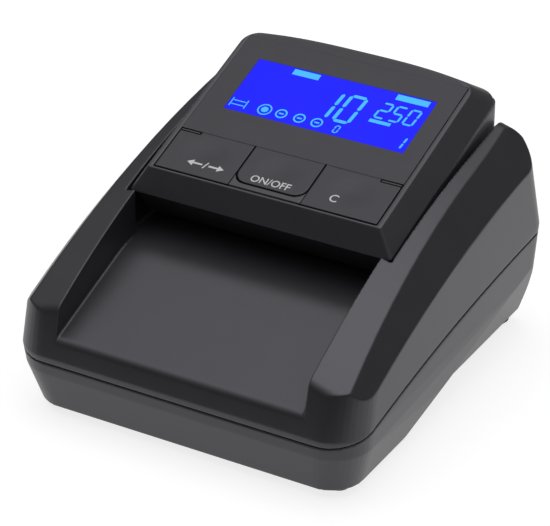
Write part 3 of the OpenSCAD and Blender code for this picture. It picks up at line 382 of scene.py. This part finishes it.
# Thin web left in the fold behind each key
FOLD_TOP = -0.06
FOLD_FOOT = -1.2
SLIT_LENGTH = 7.4
FOLD_FRONT = KEY_LENGTH - FOLD_LINE
SIDE_KEY_EDGE = CENTRE_KEY_HALF + KEY_GAP / 2
CENTRE_KEY_EDGE = CENTRE_KEY_HALF - KEY_GAP / 2
fold_ends = [(-PANEL_HALF + SLIT_LENGTH, -SIDE_KEY_EDGE),
             (-CENTRE_KEY_EDGE, CENTRE_KEY_EDGE),
             (SIDE_KEY_EDGE, PANEL_HALF - SLIT_LENGTH)]
work = bmesh.new()
for start, end in fold_ends:
    add_prism(work, box_outline(start, FOLD_FRONT, end, KEY_LENGTH), FOLD_FOOT, FOLD_TOP)
add_piece("key_folds", mesh_from(work, "key_folds"), "head", SLOT_MATERIALS["key_plastic"])

# Rib in the slit at the outer end of each side key
SLIT_WIDTH = 1.3
RIB_GAP = 0.32
RIB_END_GAP = 0.6
RIB_SIDE_GAP = 0.1
RIB_TOP = -0.08
RIB_FOOT = -0.85
RIB_OUTER = PANEL_HALF - KEY_GAP / 2 - RIB_SIDE_GAP
RIB_INNER = RIB_OUTER - SLIT_LENGTH + RIB_END_GAP
RIB_FRONT = KEY_LENGTH - SLIT_WIDTH + RIB_GAP
RIB_REAR = FOLD_FRONT - RIB_GAP
for side, way in (("left", -1), ("right", 1)):
    start, end = sorted((way * RIB_INNER, way * RIB_OUTER))
    work = bmesh.new()
    add_prism(work, box_outline(start, RIB_FRONT, end, RIB_REAR), RIB_FOOT, RIB_TOP)
    add_piece(side + "_slit_rib", mesh_from(work, side + "_slit_rib"), side + "_key",
              SLOT_MATERIALS["key_plastic"])

# Flush strip that carries the panel's finish back to the cover's bowed rear edge
FACE_LENGTH = 66.5
BOW_HALF = 35.7
REAR_BOW = 2.1
STRIP_FOOT = -0.4
STRIP_TOP = 0.02
STRIP_INSET = 0.8
BOW_STEPS = 12


def bow_point(u):
    """A point inside the cover's rear edge, for u from -1 to 1 across the bow."""
    return BOW_HALF * u, FACE_LENGTH - STRIP_INSET + REAR_BOW * (1 - abs(u) ** 3)


outline = [(-PANEL_HALF + STRIP_INSET, PANEL_LENGTH), (PANEL_HALF - STRIP_INSET, PANEL_LENGTH)]
outline += [bow_point(-i / BOW_STEPS) for i in range(-BOW_STEPS, BOW_STEPS + 1)]
work = bmesh.new()
add_prism(work, outline, STRIP_FOOT, STRIP_TOP)
add_piece("panel_rear_strip", mesh_from(work, "panel_rear_strip"), "head", SLOT_MATERIALS["face_plastic"])

# Display: seven-segment numbers, plain bars and round signs
SEGMENT_LOW = -0.05
SEGMENT_HIGH = 0.02
SEGMENT_GAP = 0.12
SLANT = 0.09
LIT = {"0": "abcdef", "1": "bc", "2": "abged", "5": "afgcd"}

# Each number: its place up the face, height and stroke, then each digit's place across and width
NUMBERS = (
    (36.3, 13.2, 1.25, (("1", -0.8, 3.6), ("0", 4.4, 6.6))),
    (42.0, 7.5, 0.75, (("2", 16.6, 4.0), ("5", 21.6, 4.0), ("0", 26.6, 4.0))),
    (31.6, 3.5, 0.45, (("0", 7.2, 1.9),)),
    (31.6, 5.8, 0.7, (("1", 29.6, 2.0),)),
)

# Each bar: its left, lower, right and upper edges
BARS = ((-17.7, 51.7, -8.1, 54.2), (19.9, 51.7, 31.5, 54.2), (16.3, 39.9, 23.8, 41.3))

# Signs in a row at the foot of the display: a gate, a filled ring and three rings with a dash
SIGN_UP = 34.0
DASH_RINGS = (-12.0, -5.4, 0.9)
DASH_RING_INNER = 1.5
DASH_RING_OUTER = 2.05
DASH_HALF = (0.85, 0.3)
FILLED_RING = -18.1
FILLED_RING_INNER = 2.0
FILLED_RING_OUTER = 2.5
DOT_RADIUS = 1.25
DOT_STEPS = 24
GATE_MIDDLE = -27.7
GATE_POST_APART = 2.7
GATE_POST_HALF = (0.2, 1.9)
GATE_RAIL_APART = 0.9
GATE_RAIL_HALF = (2.3, 0.2)


def segment_outlines(width, height, stroke):
    """Outlines of the seven segments in a digit's own frame, each a bar with pointed ends."""
    half = stroke / 2
    middle = height / 2
    gap = stroke * SEGMENT_GAP
    near = stroke + gap
    far = width - stroke - gap

    def level(s):
        return [(half + gap, s), (near, s - half), (far, s - half),
                (width - half - gap, s), (far, s + half), (near, s + half)]

    def upright(x, low, high):
        foot = low + half + gap
        top = high - half - gap
        return [(x, low + gap), (x + half, foot), (x + half, top),
                (x, high - gap), (x - half, top), (x - half, foot)]

    return {"a": level(height - half), "g": level(middle), "d": level(half),
            "b": upright(width - half, middle, height - half), "c": upright(width - half, half, middle),
            "f": upright(half, middle, height - half), "e": upright(half, half, middle)}


def add_digit(work, digit, x, s, width, height, stroke):
    outlines = segment_outlines(width, height, stroke)
    for name in LIT[digit]:
        outline = [(x + across + SLANT * up, s + up) for across, up in outlines[name]]
        add_prism(work, outline, SEGMENT_LOW, SEGMENT_HIGH)


work = bmesh.new()
for s, height, stroke, digits in NUMBERS:
    for digit, x, width in digits:
        add_digit(work, digit, x, s, width, height, stroke)
for bar in BARS:
    add_prism(work, box_outline(*bar), SEGMENT_LOW, SEGMENT_HIGH)
for x in DASH_RINGS:
    add_ring(work, x, SIGN_UP, DASH_RING_INNER, DASH_RING_OUTER, SEGMENT_LOW, SEGMENT_HIGH)
    add_prism(work, middle_box(x, SIGN_UP, *DASH_HALF), SEGMENT_LOW, SEGMENT_HIGH)
add_ring(work, FILLED_RING, SIGN_UP, FILLED_RING_INNER, FILLED_RING_OUTER, SEGMENT_LOW, SEGMENT_HIGH)
add_prism(work, circle(FILLED_RING, SIGN_UP, DOT_RADIUS, DOT_STEPS), SEGMENT_LOW, SEGMENT_HIGH)
for way in (-1, 1):
    post = middle_box(GATE_MIDDLE + way * GATE_POST_APART, SIGN_UP, *GATE_POST_HALF)
    add_prism(work, post, SEGMENT_LOW, SEGMENT_HIGH)
    rail = middle_box(GATE_MIDDLE, SIGN_UP + way * GATE_RAIL_APART, *GATE_RAIL_HALF)
    add_prism(work, rail, SEGMENT_LOW, SEGMENT_HIGH)
add_piece("display_segments", mesh_from(work, "display_segments"), "head", SEGMENTS)

# Key labels
LABEL_LOW = -0.2
LABEL_HIGH = 0.02
LETTER_SWELL = 0.035


def add_label(name, text, x, s, size, body):
    """Printed letters, as a thin closed relief on the key."""
    data = bpy.data.curves.new(name, "FONT")
    data.body = text
    data.align_x = "CENTER"
    data.align_y = "CENTER"
    data.size = size
    data.offset = LETTER_SWELL
    data.extrude = (LABEL_HIGH - LABEL_LOW) / 2
    piece = bpy.data.objects.new(name, data)
    piece.matrix_world = FACE @ Matrix.Translation((x, s, (LABEL_HIGH + LABEL_LOW) / 2))
    scene.collection.objects.link(piece)
    data.materials.append(PRINT)
    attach(piece, body)


add_label("centre_label", "ON/OFF", x=-0.2, s=4.9, size=3.9, body="centre_key")
add_label("right_label", "C", x=22.0, s=5.4, size=4.3, body="right_key")

# Two arrows with a stroke between them, on the left key
ARROW_UP = 5.0
ARROW_HEAD = 2.2
ARROW_HEAD_HALF = 1.3
ARROW_STEM_HALF = 0.35
ARROW_ENDS = ((-30.4, -24.9), (-17.1, -22.6))
STROKE = ((-24.5, 3.6), (-24.0, 3.6), (-23.0, 6.4), (-23.5, 6.4))


def arrow_outline(tip, tail):
    """An arrow from tail to tip along the key, with a head of fixed size."""
    way = 1 if tip > tail else -1
    neck = tip - ARROW_HEAD * way
    points = [(tail, -ARROW_STEM_HALF), (neck, -ARROW_STEM_HALF), (neck, -ARROW_HEAD_HALF), (tip, 0),
              (neck, ARROW_HEAD_HALF), (neck, ARROW_STEM_HALF), (tail, ARROW_STEM_HALF)]
    return [(x, ARROW_UP + s) for x, s in points[::way]]


work = bmesh.new()
for tip, tail in ARROW_ENDS:
    add_prism(work, arrow_outline(tip, tail), LABEL_LOW, LABEL_HIGH)
add_prism(work, STROKE, LABEL_LOW, LABEL_HIGH)
add_piece("left_label", mesh_from(work, "left_label"), "left_key", PRINT)


# Floor and light, in metres
FLOOR_LEFT = -3.0
FLOOR_RIGHT = 3.0
FLOOR_FRONT = -0.15
FLOOR_REAR = 4.0
FLOOR_COLOUR = (0.3, 0.3, 0.3, 1)
FLOOR_ROUGHNESS = 0.9
FLOOR_GLOW = 0.8
GLOW_COLOUR = (1, 1, 1, 1)


def white_rays(tree):
    """1 for rays that come from the camera or by a reflection or refraction, and 0 for the rest."""
    rays = add_node(tree, "ShaderNodeLightPath")
    found = rays.outputs["Is Camera Ray"]
    for name in ("Is Glossy Ray", "Is Transmission Ray"):
        either = add_node(tree, "ShaderNodeMath", operation="MAXIMUM")
        tree.links.new(found, either.inputs[0])
        tree.links.new(rays.outputs[name], either.inputs[1])
        found = either.outputs[0]
    return found


floor_data = bpy.data.meshes.new("floor")
floor_corners = [(FLOOR_LEFT, FLOOR_FRONT, 0), (FLOOR_RIGHT, FLOOR_FRONT, 0), (FLOOR_RIGHT, FLOOR_REAR, 0),
                 (FLOOR_LEFT, FLOOR_REAR, 0)]
floor_data.from_pydata(floor_corners, [], [(0, 1, 2, 3)])
floor = bpy.data.objects.new("floor", floor_data)
scene.collection.objects.link(floor)
floor_material, tree, shader = new_material("floor")
floor_data.materials.append(floor_material)
shader.inputs["Base Color"].default_value = FLOOR_COLOUR
shader.inputs["Roughness"].default_value = FLOOR_ROUGHNESS
shader.inputs["Emission Color"].default_value = GLOW_COLOUR
glow = add_node(tree, "ShaderNodeMath", operation="MULTIPLY")
tree.links.new(white_rays(tree), glow.inputs[0])
glow.inputs[1].default_value = FLOOR_GLOW
tree.links.new(glow.outputs[0], shader.inputs["Emission Strength"])

# World: a soft light overhead that fades to a dim horizon
HORIZON_LEVEL = 0.08
OVERHEAD_LEVEL = 2.45
OVERHEAD_POWER = 5.0
SKY_COLOUR = (0.985, 0.985, 1.0, 1)
world = bpy.data.worlds.new("studio")
scene.world = world
world.use_nodes = True
tree = world.node_tree
background = tree.nodes["Background"]
background.inputs["Color"].default_value = SKY_COLOUR
place = add_node(tree, "ShaderNodeTexCoord")
split = add_node(tree, "ShaderNodeSeparateXYZ")
tree.links.new(place.outputs["Generated"], split.inputs[0])
height = add_node(tree, "ShaderNodeMath", operation="MAXIMUM")
tree.links.new(split.outputs["Z"], height.inputs[0])
height.inputs[1].default_value = 0
rise = add_node(tree, "ShaderNodeMath", operation="POWER")
tree.links.new(height.outputs[0], rise.inputs[0])
rise.inputs[1].default_value = OVERHEAD_POWER
level = add_node(tree, "ShaderNodeMath", operation="MULTIPLY_ADD")
tree.links.new(rise.outputs[0], level.inputs[0])
level.inputs[1].default_value = OVERHEAD_LEVEL
level.inputs[2].default_value = HORIZON_LEVEL
tree.links.new(level.outputs[0], background.inputs["Strength"])
